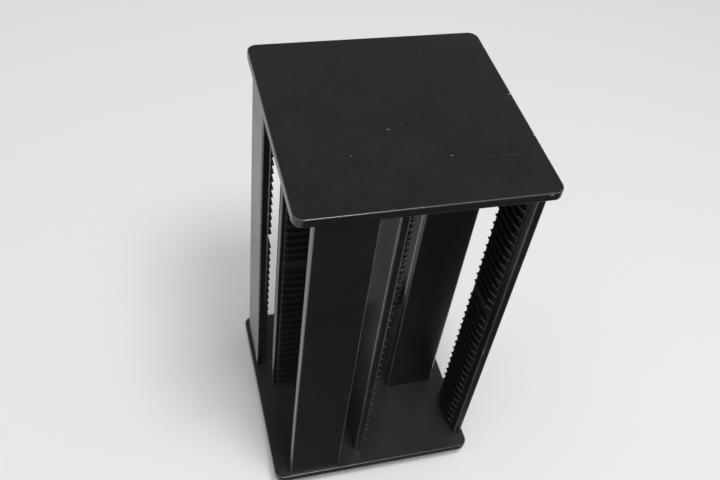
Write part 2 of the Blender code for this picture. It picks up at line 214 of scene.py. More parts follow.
class Studio(bpy.types.PropertyGroup):
    """Floor, light and camera"""
    floor: colour("Floor", "Pale floor", (0.9, 0.9, 0.9))
    lift: amount("Lift", "How far the floor's shadows are paled for the camera", 0.05, max=1)
    mirror_lift: amount("Mirrored lift", "How far the shadows' reflections are paled", 0.36, max=1)
    walls: amount("Walls", "Brightness of the pale walls all round", 0.74)
    corner: amount("Dark corner", "Brightness of the ceiling's dark corner at the back", 0.22)
    lamp: amount("Lamp", "Power of the lamp above at the front", 26, unit="POWER")
    lamp_side: length("Lamp side", "Side of the square lamp", 0.6)
    lamp_place: position("Lamp place", "Where the lamp hangs", (0.2, -0.72, 2.5))
    lamp_aim: position("Lamp aim", "What the lamp shines at", (0.0, 0.0, 0.4))
    camera_place: position("Camera", "Where the camera stands", (-0.29339, -0.72075, 1.20287))
    camera_aim: position("Aim", "What the camera looks at", (-0.01879, 0.00709, 0.36636))
    camera_roll: FloatProperty(name="Roll", description="Lean of the camera", subtype="ANGLE",
                               default=math.radians(-8.7804))
    lens: FloatProperty(name="Lens", description="Focal length in millimetres", default=42.085, min=1)


# Node trees written as expressions

def pick(sockets, key):
    """A socket by number, identifier or name."""
    named = {socket.identifier: socket for socket in sockets}
    return named[key] if key in named else sockets[key]


class Value:
    """An output in a node tree. Arithmetic on it adds Math nodes."""

    def __init__(self, graph, socket):
        self.graph = graph
        self.socket = socket

    def math(self, operation, *operands):
        return self.graph.node("ShaderNodeMath", {"operation": operation}, dict(enumerate(operands)))

    def __add__(self, other):
        return self.math("ADD", self, other)

    def __sub__(self, other):
        return self.math("SUBTRACT", self, other)

    def __rsub__(self, other):
        return self.math("SUBTRACT", other, self)

    def __mul__(self, other):
        return self.math("MULTIPLY", self, other)

    def __truediv__(self, other):
        return self.math("DIVIDE", self, other)

    __radd__ = __add__

    def most(self, other):
        return self.math("MAXIMUM", self, other)

    def over(self, low, high):
        """0 at low and 1 at high, with a soft step between them."""
        return self.graph.node("ShaderNodeMapRange", {"interpolation_type": "SMOOTHSTEP"},
                               {"Value": self, "From Min": low, "From Max": high})


class Graph:
    """A node tree that code fills."""

    def __init__(self, tree):
        self.tree = tree

    def feed(self, socket, value):
        for one in value if isinstance(value, list) else [value]:
            if isinstance(one, Value):
                self.tree.links.new(one.socket, socket)
            else:
                socket.default_value = (*one, 1.0) if socket.type == "RGBA" else one

    def node(self, kind, settings=None, inputs=None, output=0):
        """Adds a node with its settings and inputs, and gives one of its outputs."""
        node = self.tree.nodes.new(kind)
        for name, value in (settings or {}).items():
            setattr(node, name, value)
        for key, value in (inputs or {}).items():
            self.feed(pick(node.inputs, key), value)
        return Value(self, pick(node.outputs, output))

    def vector(self, operation, first, second, output=0):
        return self.node("ShaderNodeVectorMath", {"operation": operation}, {0: first, 1: second}, output)

    def along_z(self, value):
        return self.node("ShaderNodeCombineXYZ", {}, {"Z": value})


class Finish(Graph):
    """A material whose pattern lies in the frame of the solids."""

    def __init__(self, name):
        self.material = bpy.data.materials.new(name)
        self.material.use_nodes = True
        super().__init__(self.material.node_tree)
        self.shader = self.tree.nodes["Principled BSDF"]
        self.place = self.node("ShaderNodeTexCoord", output="Object")

    def surface(self, **sockets):
        """Feeds the shader's sockets and gives the material."""
        for name, value in sockets.items():
            label = name.replace("_", " ").title().replace("Ior", "IOR")
            self.feed(self.shader.inputs[label], value)
        return self.material

    def noise(self, scale, detail=2.0, roughness=0.5, stretch=None):
        """Soft noise. A stretch multiplies the place along each axis first."""
        place = self.vector("MULTIPLY", self.place, stretch) if stretch else self.place
        return self.node("ShaderNodeTexNoise", {},
                         {"Vector": place, "Scale": scale, "Detail": detail, "Roughness": roughness})

    def mix(self, factor, first, second):
        return self.node("ShaderNodeMix", {"data_type": "RGBA"},
                         {"Factor_Float": factor, "A_Color": first, "B_Color": second}, "Result_Color")

    def attribute(self, name):
        return self.node("ShaderNodeAttribute", {"attribute_name": name}, output="Fac")

    def upward(self):
        """1 on faces that look up."""
        normal = self.node("ShaderNodeNewGeometry", output="Normal")
        return self.node("ShaderNodeSeparateXYZ", {}, {0: normal}, "Z").over(0.6, 0.95)

    def bump(self, height, distance):
        return self.node("ShaderNodeBump", {}, {"Strength": 1.0, "Distance": distance, "Height": height})

    def stroke(self, start, end, width):
        """1 along a straight mark, which fades out at its sides."""
        along = Vector(end) - Vector(start)
        offset = self.vector("SUBTRACT", self.place, tuple(start))
        share = self.vector("DOT_PRODUCT", offset, tuple(along), "Value") / along.length_squared
        share = share.math("MINIMUM", share.most(0.0), 1.0)
        nearest = self.node("ShaderNodeVectorMath", {"operation": "SCALE"},
                            {0: tuple(along), "Scale": share})
        return self.vector("DISTANCE", offset, nearest, "Value").over(width, width * 0.35)


# Wear on the top plate, as x and y of both ends, half width, and strength
TOP_MARKS = (
    ((-0.0196, -0.0258), (-0.0162, -0.0260), 0.0007, 0.34),
    ((-0.0008, -0.0184), (0.0003, -0.0186), 0.0007, 0.16),
    ((-0.0716, -0.0649), (-0.0703, -0.0647), 0.0007, 0.32),
    ((0.0408, -0.0782), (0.0439, -0.0784), 0.0007, 0.3),
    ((0.0886, -0.0580), (0.0898, -0.0583), 0.0008, 0.1),
    ((0.0641, 0.1178), (0.0646, 0.1180), 0.0011, 0.16),
    ((0.0815, -0.0845), (0.0900, -0.0848), 0.0009, 0.025),
    ((0.1010, -0.0850), (0.1245, -0.0868), 0.0009, 0.03),
    ((0.1484, 0.0199), (0.1516, 0.0201), 0.0009, 0.6),
    ((0.1506, -0.0572), (0.1514, -0.0574), 0.0011, 0.6),
)


def paint_finish(name, colours, marks=(), film=0.0, worn=0.07):
    """Satin black paint on pressed fibre: fine texture, dulled patches, a little dust, chipped edges,
    and rounded rims paled towards bare fibre, partly wear and partly painted highlight.

    The film is how much an even layer of dust covers faces that look up, and worn how far the rounded
    edges are paled, partly as wear and partly as painted highlight.
    """
    finish = Finish(name)
    grain = finish.noise(1500, 3)
    peel = finish.noise(240, 2)
    patches = finish.noise(11, 4, 0.6).over(0.38, 0.68)
    rubbed = finish.noise(1, 3, stretch=(38, 700, 700)).over(0.55, 0.75)
    upward = finish.upward()
    settled = finish.noise(120, 6, 0.7).over(0.5, 0.8) * upward
    even = upward * (0.7 + finish.noise(24, 3) * 0.6) * film
    edge = finish.attribute("edge")
    knocks = finish.noise(34, 3).over(0.69, 0.74) * finish.noise(420, 4, 0.65).over(0.46, 0.56)
    bare = edge.over(0.3, 0.8) * knocks
    tone = finish.mix(patches * 0.8 + rubbed * 0.2, colours.paint, colours.haze)
    tone = finish.mix(settled * 0.035 + even, tone, colours.dust)
    lint = 0.0
    for start, end, width, strength in marks:
        mark = finish.stroke((*start, TOP_HIGH.z), (*end, TOP_HIGH.z), width) * strength
        lint = mark.most(lint)
    if marks:
        ragged = finish.noise(1300, 2).over(0.3, 0.55)
        tone = finish.mix(lint * ragged, tone, colours.lint)
    # Rounded rims paled towards bare fibre: partly wear, partly a painted highlight along the rims
    rim_wear_and_highlight = edge.over(0.4, 1.0) * (0.5 + patches * 0.5)
    tone = finish.mix(rim_wear_and_highlight * worn, tone, colours.fibre)
    tone = finish.mix(bare * 0.75, tone, colours.fibre)
    return finish.surface(
        base_color=tone,
        roughness=0.28 + patches * 0.04 + rubbed * 0.03 + settled * 0.06 + bare * 0.4,
        specular_ior_level=0.5,
        specular_tint=colours.sheen,
        coat_weight=edge.over(0.1, 0.7) * (1 - bare),
        coat_roughness=0.22,
        normal=finish.bump(grain * 0.5 + peel * 0.5 - bare * 2.0, distance=0.00008),
    )


def bare_finish(name, colours):
    """Pressed fibre inside a chip."""
    finish = Finish(name)
    fibres = finish.noise(1600, 4, 0.7)
    dark = tuple(0.35 * part for part in colours.fibre)
    return finish.surface(
        base_color=finish.mix(fibres.over(0.3, 0.7), dark, colours.fibre),
        roughness=0.85 + fibres * 0.1,
        specular_ior_level=0.3,
        normal=finish.bump(fibres, distance=0.0003),
    )


def plastic_finish(name, colours):
    """Moulded plastic with a fine grain, paled on the ledges' ends where cases slide: partly wear,
    partly painted highlight.
    """
    finish = Finish(name)
    grain = finish.noise(2600, 2)
    flow = finish.noise(60, 3, stretch=(1, 1, 0.25))
    settled = finish.noise(150, 6, 0.7).over(0.48, 0.75) * finish.upward()
    # Paled ledge ends: partly rubbing, partly a painted highlight where the ends catch the light
    rubbed = finish.attribute("edge") * finish.noise(300, 4, 0.6).over(0.3, 0.6)
    paled = flow.over(0.35, 0.7) * 0.03 + rubbed * 0.8
    tone = finish.mix(paled, colours.plastic, colours.rubbed)
    return finish.surface(
        base_color=finish.mix(settled * 0.06, tone, colours.dust),
        roughness=0.38 + grain * 0.08 + flow * 0.08 - rubbed * 0.08 + settled * 0.1,
        specular_ior_level=0.5,
        normal=finish.bump(grain, distance=0.00005),
    )


def zinc_finish(name, colours):
    """Zinc-plated steel with a faint passivated tint and fine handling marks."""
    finish = Finish(name)
    clouds = finish.noise(90, 4, 0.6)
    lines = finish.noise(1, 3, stretch=(1800, 160, 1800)).over(0.4, 0.75)
    warm = tuple(part * tint for part, tint in zip(colours.zinc, (1.0, 0.93, 0.78)))
    tone = finish.mix(clouds.over(0.4, 0.75) * 0.6, colours.zinc, warm)
    return finish.surface(
        base_color=finish.mix(lines * 0.25, tone, colours.scuff),
        metallic=1.0,
        roughness=0.26 + clouds * 0.16 + lines * 0.1,
        normal=finish.bump(lines * 0.5 + clouds * 0.5, distance=0.00004),
    )


def rubber_finish(name, colours):
    """Matt rubber with a dusty bloom."""
    finish = Finish(name)
    crumb = finish.noise(1900, 3)
    bloom = finish.noise(120, 4, 0.65).over(0.45, 0.75)
    return finish.surface(
        base_color=finish.mix(bloom * 0.12, colours.rubber, colours.dust),
        roughness=0.78 + crumb * 0.12,
        specular_ior_level=0.3,
        normal=finish.bump(crumb, distance=0.0001),
    )


MAKERS = {
    "top_paint": lambda name, colours: paint_finish(name, colours, TOP_MARKS),
    # worn pales the rounded rims, partly as wear and partly as painted highlight
    "board_paint": lambda name, colours: paint_finish(name, colours, worn=0.2),
    "base_paint": lambda name, colours: paint_finish(name, colours, film=0.1, worn=0.02),
    "bare_fibre": bare_finish,
    "rail_plastic": plastic_finish,
    "zinc": zinc_finish,
    "pad_rubber": rubber_finish,
}


def finish_named(name):
    """The material of that name, made when it is first asked for."""
    found = bpy.data.materials.get(name)
    return found or MAKERS[name](name, bpy.context.scene.tower_colours)


# Meshes

def mesh_from(bm, name):
    mesh = bpy.data.meshes.new(name)
    bm.to_mesh(mesh)
    bm.free()
    return mesh


def loose_object(name, mesh, *finishes):
    obj = bpy.data.objects.new(name, mesh)
    bpy.context.scene.collection.objects.link(obj)
    for finish in finishes:
        mesh.materials.append(finish_named(finish))
    return obj


def solid(name, bm, *finishes):
    """An object with the mesh that bm holds."""
    return loose_object(name, mesh_from(bm, name), *finishes)


def discard(objects):
    for obj in objects:
        bpy.data.objects.remove(obj, do_unlink=True)


def baked(obj):
    """The object's final mesh. The object itself goes."""
    graph = bpy.context.evaluated_depsgraph_get()
    mesh = bpy.data.meshes.new_from_object(obj.evaluated_get(graph), depsgraph=graph)
    discard([obj])
    return mesh


def cut_with(obj, tool, operation="DIFFERENCE", materials="INDEX"):
    """Cuts the object with the tool's shape, with the tool's own finish on the cut where asked."""
    cut = obj.modifiers.new(tool.name, "BOOLEAN")
    cut.operation = operation
    cut.solver = "EXACT"
    cut.material_mode = materials
    cut.object = tool


def flow_shading(obj, angle):
    """Smooth rounds beside faces that stay flat, with the slivers that cuts leave welded away."""
    obj.data.shade_smooth()
    obj.data.set_sharp_from_angle(angle=math.radians(angle))
    weld = obj.modifiers.new("weld", "WELD")
    weld.merge_threshold = WELD_GAP
    weighted = obj.modifiers.new("flat faces", "WEIGHTED_NORMAL")
    weighted.keep_sharp = True
    weighted.weight = 90


def finished(obj, angle=ROUNDED, tools=(), **cut):
    """The object's final mesh, cut with these tools and shaded. The object and the tools go."""
    for tool in tools:
        cut_with(obj, tool, **cut)
    flow_shading(obj, angle)
    mesh = baked(obj)
    discard(tools)
    return mesh


def placed(mesh, matrix):
    copy = mesh.copy()
    copy.transform(matrix)
    return copy


def add_piece(name, mesh, body, slot, *nodes):
    """A finished piece that stands for these nodes and moves with their body."""
    obj = bpy.data.objects.new(name, mesh)
    mesh.name = name
    bpy.context.scene.collection.objects.link(obj)
    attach(obj, body)
    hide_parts(*nodes)


def add_finished(node, mesh, body, slot):
    """The finished piece of one node."""
    add_piece(f"{node}_finished", mesh, body, slot, node)


def rounded_outline(low, high, radius, steps):
    """Points of a rectangle with rounded corners, and how far round its corner each one is."""
    points = []
    centres = ((high[0] - radius, high[1] - radius), (low[0] + radius, high[1] - radius),
               (low[0] + radius, low[1] + radius), (high[0] - radius, low[1] + radius))
    for quarter, (x, y) in enumerate(centres):
        for step in range(steps + 1):
            angle = math.pi / 2 * (quarter + step / steps)
            points.append((x + radius * math.cos(angle), y + radius * math.sin(angle), step / steps))
    return points


def prism(bm, points, low, high):
    """Closed solid between two heights, as the corners of its bottom and of its top."""
    bottom = [bm.verts.new((x, y, low)) for x, y in points]
    top = [bm.verts.new((x, y, high)) for x, y in points]
    bm.faces.new(bottom[::-1])
    bm.faces.new(top)
    for i, start in enumerate(bottom):
        j = (i + 1) % len(bottom)
        bm.faces.new((start, bottom[j], top[j], top[i]))
    return bottom, top


def round_rims(bm, edges, radius, segments):
    """Rounds these edges and marks the middle of each round for wear and for paling that is partly
    painted highlight.
    """
    layer = bm.verts.layers.float.get("edge") or bm.verts.layers.float.new("edge")
    bm.normal_update()
    made = bmesh.ops.bevel(bm, geom=edges, offset=radius, segments=segments, profile=0.5, affect="EDGES")
    faces = set(made["faces"])
    for vert in made["verts"]:
        if all(face in faces for face in vert.link_faces):
            vert[layer] = 1.0


def circle(radius, steps):
    turns = (2 * math.pi * i / steps for i in range(steps))
    return [(radius * math.cos(turn), radius * math.sin(turn)) for turn in turns]


def lathe(profile, steps, closed=False):
    """A profile of radius and height turned about Z. A closed one makes a ring."""
    bm = bmesh.new()
    rings = []
    for radius, height in profile:
        points = circle(radius, steps) if radius > TOUCH else [(0, 0)]
        rings.append([bm.verts.new((x, y, height)) for x, y in points])
    pairs = list(zip(rings, rings[1:] + rings[:1]))
    for first, second in pairs if closed else pairs[:-1]:
        for i in range(steps):
            j = (i + 1) % steps
            corners = (first[i % len(first)], second[i % len(second)],
                       second[j % len(second)], first[j % len(first)])
            unique = list(dict.fromkeys(corners))
            if len(unique) > 2:
                bm.faces.new(unique)
    bmesh.ops.recalc_face_normals(bm, faces=bm.faces)
    return bm


def turned(name, profile, *finishes, closed=False):
    """An object made on the lathe."""
    return solid(name, lathe(profile, TURN_STEPS[name], closed), *finishes)


def arc(centre, radius, start, end, steps):
    """Points of a rounded corner in a profile, with angles in degrees."""
    turns = (math.radians(start + (end - start) * i / steps) for i in range(steps + 1))
    return [(centre[0] + radius * math.cos(a), centre[1] + radius * math.sin(a)) for a in turns]


def round_side(radius, low, high, soft, steps):
    """A turned piece's side from top to bottom, with rounded rims."""
    return [*arc((radius - soft, high - soft), soft, 90, 0, steps),
            *arc((radius - soft, low + soft), soft, 0, -90, steps)]


def eased_side(radius, start, end, soft):
    """A turned piece's side from one height to another, with sloped rims."""
    slope = math.copysign(soft, end - start)
    return [(radius - soft, start), (radius, start + slope), (radius, end - slope), (radius - soft, end)]


# Geometry node trees

def new_tree(name, inputs):
    """A geometry tree with named inputs, as its graph and their values by name."""
    tree = bpy.data.node_groups.new(name, "GeometryNodeTree")
    for label, kind in inputs.items():
        tree.interface.new_socket(label, in_out="INPUT", socket_type=f"NodeSocket{kind}")
    tree.interface.new_socket("Geometry", in_out="OUTPUT", socket_type="NodeSocketGeometry")
    graph = Graph(tree)
    start = tree.nodes.new("NodeGroupInput")
    return graph, {label: Value(graph, start.outputs[label]) for label in inputs}


def end_tree(graph, geometry, finish):
    """Ends a tree with real geometry in one finish."""
    real = graph.node("GeometryNodeRealizeInstances", {}, {"Geometry": geometry})
    dressed = graph.node("GeometryNodeSetMaterial", {}, {"Geometry": real, "Material": finish})
    end = graph.tree.nodes.new("NodeGroupOutput")
    graph.feed(end.inputs["Geometry"], dressed)
    return graph.tree


def run_tree(tree, values):
    """The mesh that a tree makes from these inputs."""
    obj = loose_object(tree.name, bpy.data.meshes.new(tree.name))
    modifier = obj.modifiers.new(tree.name, "NODES")
    modifier.node_group = tree
    for item in tree.interface.items_tree:
        if item.in_out == "INPUT":
            modifier[item.identifier] = values[item.name]
    return baked(obj)


def source_geometry(graph, obj):
    return graph.node("GeometryNodeObjectInfo", {"transform_space": "ORIGINAL"}, {"Object": obj},
                      "Geometry")


def joined_copies(graph, body, points, copy):
    """A body joined with copies on these points into one mesh."""
    copies = graph.node("GeometryNodeInstanceOnPoints", {}, {"Points": points, "Instance": copy})
    copies = graph.node("GeometryNodeRealizeInstances", {}, {"Geometry": copies})
    return graph.node("GeometryNodeMeshBoolean", {"operation": "UNION", "solver": "EXACT"},
                      {"Mesh 2": [source_geometry(graph, body), copies]})


def rail_tree():
    """A strip with ledges at an even pitch, joined into one moulding."""
    graph, given = new_tree("ledge rail", {
        "Strip": "Object", "Ledge": "Object", "Ledges": "Int", "First Ledge": "Float", "Pitch": "Float",
        "Finish": "Material"})
    start, step = graph.along_z(given["First Ledge"]), graph.along_z(0 - given["Pitch"])
    line = graph.node("GeometryNodeMeshLine", {"mode": "OFFSET"},
                      {"Count": given["Ledges"], "Start Location": start, "Offset": step})
    moulding = joined_copies(graph, given["Strip"], line, source_geometry(graph, given["Ledge"]))
    return end_tree(graph, moulding, given["Finish"])


def fixing_tree():
    """Copies of one fixing on the points of another object, each turned at random about its axis."""
    graph, given = new_tree("fixings", {
        "Fixing": "Object", "Places": "Object", "Seed": "Int", "Finish": "Material"})
    turn = graph.node("FunctionNodeRandomValue", {"data_type": "FLOAT"},
                      {"Max_001": 2 * math.pi, "Seed": given["Seed"]}, "Value_001")
    copies = graph.node("GeometryNodeInstanceOnPoints", {}, {
        "Points": source_geometry(graph, given["Places"]),
        "Instance": source_geometry(graph, given["Fixing"]),
        "Rotation": graph.along_z(turn)})
    return end_tree(graph, copies, given["Finish"])


def ball_tree():
    """A cage with balls at even turns round its race, joined into one piece."""
    graph, given = new_tree("ball race", {
        "Cage": "Object", "Balls": "Int", "Race Radius": "Float", "Ball Radius": "Float",
        "Height": "Float", "Finish": "Material"})
    race = graph.node("GeometryNodeMeshCircle", {},
                      {"Vertices": given["Balls"], "Radius": given["Race Radius"]})
    places = graph.node("GeometryNodeTransform", {},
                        {"Geometry": race, "Translation": graph.along_z(given["Height"])})
    ball = graph.node("GeometryNodeMeshUVSphere", {},
                      {"Segments": 20, "Rings": 12, "Radius": given["Ball Radius"]})
    return end_tree(graph, joined_copies(graph, given["Cage"], places, ball), given["Finish"])


# Pieces

def plate_object(name, low, high, sizes, *finishes):
    """A square plate with rounded corners and rims."""
    bm = bmesh.new()
    outline = rounded_outline(low, high, sizes.plate_corner, PLATE_STEPS)
    prism(bm, [point[:2] for point in outline], low.z, high.z)
    rims = [edge for edge in bm.edges if abs(edge.verts[0].co.z - edge.verts[1].co.z) < TOUCH]
    round_rims(bm, rims, sizes.plate_round, RIM_STEPS)
    return solid(name, bm, *finishes)


# Chips in the top plate's rim: place from the middle of its upper face, and half sizes in x, y and z
CHIPS = (
    ((0.1523, -0.0971, -0.0005), (0.0009, 0.0024, 0.0010)),
    ((0.1338, -0.1525, -0.0024), (0.0032, 0.0008, 0.0010)),
    ((-0.0935, 0.1524, -0.0006), (0.0022, 0.0011, 0.0013)),
    ((-0.1524, 0.0610, -0.0110), (0.0011, 0.0024, 0.0012)),
)
CHIP_SEED = 11
CHIP_ROUGHNESS = 0.22


def chip_tool():
    """Rough lumps where the rim has lost its paint."""
    bm = bmesh.new()
    rng = random.Random(CHIP_SEED)
    for place, size in CHIPS:
        made = bmesh.ops.create_icosphere(bm, subdivisions=2, radius=1)
        centre = Vector(place) + Vector((0, 0, TOP_HIGH.z))
        for vert in made["verts"]:
            rough = 1 + rng.uniform(-CHIP_ROUGHNESS, CHIP_ROUGHNESS)
            vert.co = centre + rough * Vector([part * reach for part, reach in zip(vert.co, size)])
    return solid("chips", bm, "bare_fibre")


class CDTOWER_OT_plates(bpy.types.Operator):
    """Make the top plate with its chipped rim, and the base plate with its countersinks"""
    bl_idname = "cd_tower.plates"
    bl_label = "Plates"

    def execute(self, context):
        sizes = context.scene.tower_sizes
        top = plate_object("top", TOP_LOW, TOP_HIGH, sizes, "top_paint", "bare_fibre")
        mesh = finished(top, tools=[chip_tool()], materials="TRANSFER")
        add_finished("top_plate", mesh, "tower", "black_paint")
        base = plate_object("base", BASE_LOW, BASE_HIGH, sizes, "base_paint")
        above, below = BASE_HIGH.z + SEAT, BASE_LOW.z - SEAT
        tools = [turned("bore", [(0, above), (PIVOT_BORE, above), (PIVOT_BORE, below), (0, below)]),
                 screw_room(BOARD_SCREW, board_screw_places(sizes)),
                 ring_screw_room("upper")]
        add_finished("base_plate", finished(base, tools=tools), "tower", "black_paint")
        return {"FINISHED"}


class CDTOWER_OT_boards(bpy.types.Operator):
    """Make the eight upright boards, with rounded edges along their height"""
    bl_idname = "cd_tower.boards"
    bl_label = "Boards"

    def execute(self, context):
        sizes = context.scene.tower_sizes
        low, high = (0, -BOARD_THICKNESS), (BOARD_WIDTH, 0)
        outline = rounded_outline(low, high, sizes.board_round, BOARD_STEPS)
        bm = bmesh.new()
        layer = bm.verts.layers.float.new("edge")
        # The board's upright rounds are marked for wear and for paling that is partly painted highlight
        for ring in prism(bm, [point[:2] for point in outline], BOARD_BOTTOM, BOARD_TOP):
            for vert, (_, _, share) in zip(ring, outline):
                vert[layer] = math.sin(math.pi * share)
        board = solid("board", bm, "board_paint")
        mesh = finished(board, tools=[screw_room(BOARD_SCREW, board_screw_spots(sizes))])
        for unit, place in UNITS.items():
            add_finished(f"{unit}_board", placed(mesh, place), "tower", "black_paint")
        return {"FINISHED"}


def mark_rub_and_glint(bm, low, high):
    """Marks what lies outside these two places along X for paling, partly wear and partly painted
    highlight, and lessens it between them.
    """
    for place in (low, high):
        bmesh.ops.bisect_plane(bm, geom=[*bm.verts, *bm.edges, *bm.faces], plane_co=(place, 0, 0),
                               plane_no=(1, 0, 0))
    layer = bm.verts.layers.float["edge"]
    for vert in bm.verts:
        outside = vert.co.x < low - TOUCH or vert.co.x > high + TOUCH
        vert[layer] = 1.0 if outside else vert[layer] * RUB_AND_GLINT_BETWEEN


def ledge_object(sizes, start, end, root, tip):
    """One ledge: a thin tapered tab whose leading end slopes out from a nose."""
    bm = bmesh.new()
    held, nose, slope = root - LEDGE_HOLD, root + sizes.ledge_nose, start + sizes.ledge_lead
    plan = ((start, held), (end, held), (end, tip), (slope, tip), (start, nose))
    bottom, _ = prism(bm, plan, -sizes.ledge_thickness, 0)
    for vert in bottom:
        if vert.co.y > nose + TOUCH:
            vert.co.z += sizes.ledge_taper
    free = [edge for edge in bm.edges if max(vert.co.y for vert in edge.verts) > root]
    round_rims(bm, free, RAIL_ROUND, RAIL_STEPS)
    mark_rub_and_glint(bm, slope + RUB_AND_GLINT_SLOPE, end - RUB_AND_GLINT_END)
    return solid("ledge", bm)


def strip_object(start, end, back, root, low, high):
    """The strip that the ledges stand on, with its front edges rounded."""
    bm = bmesh.new()
    prism(bm, ((start, back), (end, back), (end, root), (start, root)), low, high)
    front = [edge for edge in bm.edges if all(vert.co.y > root - TOUCH for vert in edge.verts)]
    round_rims(bm, front, RAIL_ROUND, RAIL_STEPS)
    mark_rub_and_glint(bm, start, end - RUB_AND_GLINT_RIM)
    return solid("strip", bm)


class CDTOWER_OT_rails(bpy.types.Operator):
    """Make the moulded ledge rails, an upper and a lower length on each board"""
    bl_idname = "cd_tower.rails"
    bl_label = "Ledge rails"

    def execute(self, context):
        sizes = context.scene.tower_sizes
        tree = rail_tree()
        first = BOARD_TOP - sizes.first_ledge
        lower_first = first - (sizes.upper_ledges + 1) * sizes.ledge_pitch
        halves = (("upper", sizes.upper_ledges, first), ("lower", sizes.lower_ledges, lower_first))
        for half, count, highest in halves:
            low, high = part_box(f"outer_front_rail_{half}")
            mesh = self.moulding(sizes, tree, low - OUTER_PLACE, high - OUTER_PLACE, count, highest)
            for unit, place in UNITS.items():
                add_finished(f"{unit}_rail_{half}", placed(mesh, place), "tower", "black_plastic")
        return {"FINISHED"}

    def moulding(self, sizes, tree, low, high, count, highest):
        """One length of rail in the frame of its board, with no rubbing and no painted highlight on the
        strip's flat face.
        """
        root = low.y + STRIP_THICKNESS
        strip = strip_object(low.x, high.x, low.y, root, low.z, high.z)
        ledge = ledge_object(sizes, low.x + LEDGE_INSET, high.x - LEDGE_INSET, root, high.y)
        mesh = run_tree(tree, {"Strip": strip, "Ledge": ledge, "Ledges": count, "First Ledge": highest,
                               "Pitch": sizes.ledge_pitch, "Finish": finish_named("rail_plastic")})
        discard([strip, ledge])
        for vert, wear in zip(mesh.vertices, mesh.attributes["edge"].data):
            if abs(vert.co.y - root) < FLUSH:
                wear.value = 0.0
        return finished(loose_object("rail", mesh), JOINED)


# Screws point up from a countersunk head at z = 0

def screw_sizes(node, depth):
    """Head radius, shank radius, head depth and length of a screw's solid."""
    low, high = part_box(node)
    head = (high.x - low.x) / 2
    return head, head / 2, depth, high.z - low.z


BOARD_SCREW = screw_sizes("outer_front_screw_1", depth=0.003)
RING_SCREW = screw_sizes("upper_ring_screw_1", depth=0.0016)


def screw_profile(head, shank, depth, tall, room=0.0):
    return [(0, tall + room), (shank + room, tall - shank + room), (shank + room, depth + room),
            (head + room, room), (head + room, -2 * room), (0, -2 * room)]


def board_screw_spots(sizes):
    """Where the heads of a board's two screws lie, in the board's frame."""
    return [Vector((along, -BOARD_THICKNESS / 2, BASE_LOW.z))
            for along in (sizes.screw_inset, BOARD_WIDTH - sizes.screw_inset)]


def board_screw_places(sizes):
    return [place @ spot for place in UNITS.values() for spot in board_screw_spots(sizes)]


def ring_screw_places(ring):
    """Where the heads of a ring's screws lie."""
    places = []
    for number in (1, 2, 3):
        low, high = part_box(f"{ring}_ring_screw_{number}")
        middle = (low + high) / 2
        places.append(Vector((middle.x, middle.y, low.z if ring == "upper" else high.z)))
    return places


def screw_room(screw, places, upside_down=False):
    """The room that screws take in what they hold, as a tool."""
    cone = mesh_from(lathe(screw_profile(*screw, room=SCREW_PLAY), TURN_STEPS["room"]), "room")
    if upside_down:
        cone.transform(UPSIDE_DOWN)
    joined = bmesh.new()
    for place in places:
        joined.from_mesh(placed(cone, Matrix.Translation(place)))
    return solid("screw_room", joined)


def ring_screw_room(ring):
    return screw_room(RING_SCREW, ring_screw_places(ring), upside_down=ring == "lower")


def screw_object(sizes, screw, upside_down=False):
    """A countersunk screw with a cross recess."""
    head, _, depth, _ = screw
    reach = sizes.recess * head / BOARD_SCREW[0] / 2
    arms = []
    for turn in (0, math.pi / 2):
        bm = bmesh.new()
        for vert in bmesh.ops.create_cube(bm, size=2)["verts"]:
            deep = vert.co.z > 0
            vert.co.x *= reach * (RECESS_TIP if deep else 1)
            vert.co.y *= reach * RECESS_WIDTH
            vert.co.z = depth * RECESS_DEPTH if deep else -depth
        bmesh.ops.transform(bm, matrix=Matrix.Rotation(turn, 4, "Z"), verts=bm.verts)
        arms.append(solid("recess", bm))
    mesh = finished(turned("screw", [*screw_profile(*screw)[:4], (0, 0)]), TURNED, arms)
    if upside_down:
        mesh.transform(UPSIDE_DOWN)
    return loose_object("screw", mesh)


class CDTOWER_OT_screws(bpy.types.Operator):
    """Make the screws that hold the boards and the turntable's rings"""
    bl_idname = "cd_tower.screws"
    bl_label = "Screws"

    def execute(self, context):
        sizes = context.scene.tower_sizes
        tree = fixing_tree()
        nodes = [f"{unit}_screw_{number}" for unit in UNITS for number in (1, 2)]
        groups = [("board_screws", BOARD_SCREW, board_screw_places(sizes), "tower", nodes)]
        for ring, body in (("upper", "tower"), ("lower", "foot")):
            nodes = [f"{ring}_ring_screw_{number}" for number in (1, 2, 3)]
            groups.append((f"{ring}_ring_screws", RING_SCREW, ring_screw_places(ring), body, nodes))
        for seed, (name, sort, spots, body, nodes) in enumerate(groups):
            screw = screw_object(sizes, sort, upside_down=body == "foot")
            points = bpy.data.meshes.new("places")
            points.from_pydata(spots, [], [])
            places = loose_object("places", points)
            mesh = run_tree(tree, {"Fixing": screw, "Places": places, "Seed": seed,
                                   "Finish": finish_named("zinc")})
            add_piece(name, mesh, body, "zinc_steel", *nodes)
            discard([screw, places])
        return {"FINISHED"}


